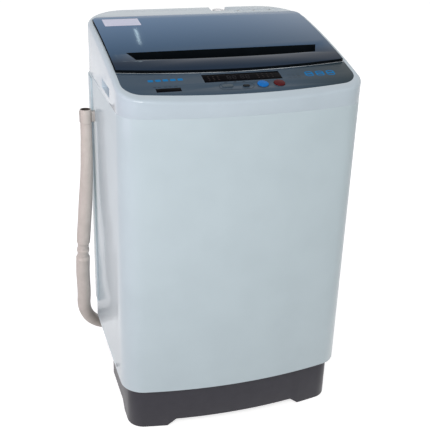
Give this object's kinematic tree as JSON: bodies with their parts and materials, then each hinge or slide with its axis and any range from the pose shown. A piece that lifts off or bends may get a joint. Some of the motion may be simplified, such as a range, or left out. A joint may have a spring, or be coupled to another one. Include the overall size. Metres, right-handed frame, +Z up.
{
  "type": "top load washing machine",
  "caption": "Free-standing top-loading washing machine: hinged smoked lid, sprung tub with spinning basket and pulsator, belt drive, press buttons, drain hose.",
  "frame": {"origin": "on the floor under the middle of the body", "axes": "+Z up, X to the machine's right as its user faces it, -Y to the front"},
  "size_m": [0.566, 0.4888, 0.8593],
  "materials": {
    "white_enamel": "gloss",
    "white_abs": "gloss",
    "skirt_grey": "matte",
    "foot_rubber": "matte",
    "screw_steel": "satin",
    "black_rubber": "matte",
    "smoke_lid": "gloss",
    "ferrite": "matte",
    "black_plastic": "matte",
    "panel_grey": "satin",
    "trim_silver": "satin",
    "window_black": "gloss",
    "button_blue": "gloss",
    "button_red": "gloss",
    "button_grey": "satin",
    "button_black": "satin",
    "pale_plastic": "matte",
    "natural_plastic": "matte",
    "stainless": "brushed",
    "plated_steel": "satin",
    "motor_paint": "satin",
    "cast_aluminium": "satin",
    "shaft_steel": "satin",
    "hose_grey": "satin"
  },
  "bodies": {
    "cabinet": {"cabinet_shell": "white_enamel", "rear_cover": "white_abs", "case_screws": "screw_steel", "cable_gland": "black_rubber", "base_skirt": "skirt_grey", "fixed_feet": "foot_rubber", "top_cover": "white_abs", "deck_cover": "white_abs", "reed_switch": "black_plastic", "control_panel": "panel_grey", "panel_trim": "trim_silver", "display_window": "window_black", "status_window": "window_black", "control_board": "black_plastic", "water_valve": "pale_plastic", "inlet_strainer": "pale_plastic", "dispenser_housing": "pale_plastic", "pressure_switch": "black_plastic", "sump_hose": "black_rubber", "drain_outlet": "natural_plastic", "hanger_brackets": "plated_steel", "rod_seats": "natural_plastic", "suspension_rods": "shaft_steel", "suspension_springs": "shaft_steel", "drain_hose": "hose_grey", "hose_cuff": "hose_grey", "hose_clip": "pale_plastic", "hose_clamp": "plated_steel"},
    "lid_body": {"lid": "smoke_lid", "lid_magnet": "ferrite"},
    "foot_body": {"leveling_foot": "foot_rubber"},
    "start_body": {"start_button": "button_blue"},
    "power_body": {"power_button": "button_red"},
    "program_body": {"program_button": "button_black"},
    "level_body": {"level_button": "button_grey"},
    "drawer_body": {"detergent_drawer": "pale_plastic"},
    "tub_body": {"outer_tub": "natural_plastic", "tub_ring": "natural_plastic", "shaft_seal": "black_rubber", "tub_carrier": "plated_steel", "clutch_housing": "cast_aluminium", "bearings": "shaft_steel", "motor": "motor_paint", "drive_belt": "black_rubber", "drain_valve": "natural_plastic", "drain_actuator": "black_plastic", "damper_cups": "natural_plastic"},
    "basket_body": {"wash_basket": "stainless", "basket_base": "pale_plastic", "balance_ring": "pale_plastic", "lint_filter": "pale_plastic", "spin_shaft": "shaft_steel"},
    "wash_drive": {"pulsator": "pale_plastic", "pulsator_screw": "stainless", "wash_shaft": "shaft_steel", "clutch_pulley": "cast_aluminium"},
    "motor_rotor": {"motor_shaft": "shaft_steel", "motor_pulley": "cast_aluminium"},
    "drain_pull": {"drain_rod": "shaft_steel"}
  },
  "joints": [
    {"name": "lid_hinge", "type": "hinge", "parent": "cabinet", "child": "lid_body", "pos_m": [0, 0.1436, 0.84243], "axis": [-1, 0, 0], "range_deg": [0, 100]},
    {"name": "foot_screw", "type": "slide", "parent": "cabinet", "child": "foot_body", "axis": [0, 0, 1], "range_m": [-0.012, 0]},
    {"name": "start_press", "type": "slide", "parent": "cabinet", "child": "start_body", "axis": [0, 0.2647, -0.9643], "range_m": [0, 0.0012], "stiffness_N_per_m": 900, "springref_m": -0.0006},
    {"name": "power_press", "type": "slide", "parent": "cabinet", "child": "power_body", "axis": [0, 0.2647, -0.9643], "range_m": [0, 0.0012], "stiffness_N_per_m": 900, "springref_m": -0.0006},
    {"name": "program_press", "type": "slide", "parent": "cabinet", "child": "program_body", "axis": [0, 0.266, -0.964], "range_m": [0, 0.0012], "stiffness_N_per_m": 900, "springref_m": -0.0006},
    {"name": "level_press", "type": "slide", "parent": "cabinet", "child": "level_body", "axis": [0, 0.2647, -0.9643], "range_m": [0, 0.0012], "stiffness_N_per_m": 900, "springref_m": -0.0006},
    {"name": "drawer_slide", "type": "slide", "parent": "cabinet", "child": "drawer_body", "axis": [0, -1, 0], "range_m": [0, 0.05]},
    {"name": "tub_suspension", "type": "slide", "parent": "cabinet", "child": "tub_body", "axis": [0, 0, 1], "range_m": [-0.012, 0.006], "stiffness_N_per_m": 20000, "springref_m": 0.01008, "deforming": ["suspension_springs"]},
    {"name": "basket_spin", "type": "hinge", "parent": "tub_body", "child": "basket_body", "pos_m": [0, 0, 0.46], "axis": [0, 0, 1], "continuous": true},
    {"name": "wash_spin", "type": "hinge", "parent": "tub_body", "child": "wash_drive", "pos_m": [0, 0, 0.29], "axis": [0, 0, 1], "continuous": true},
    {"name": "motor_spin", "type": "hinge", "parent": "tub_body", "child": "motor_rotor", "pos_m": [0.132, 0, 0.13], "axis": [0, 0, 1], "continuous": true},
    {"name": "drain_stroke", "type": "slide", "parent": "tub_body", "child": "drain_pull", "axis": [0, -1, 0], "range_m": [0, 0.014], "stiffness_N_per_m": 400, "springref_m": -0.005}
  ],
  "couplings": [
    {"joint": "motor_spin", "follows": "wash_spin", "ratio": 2}
  ]
}
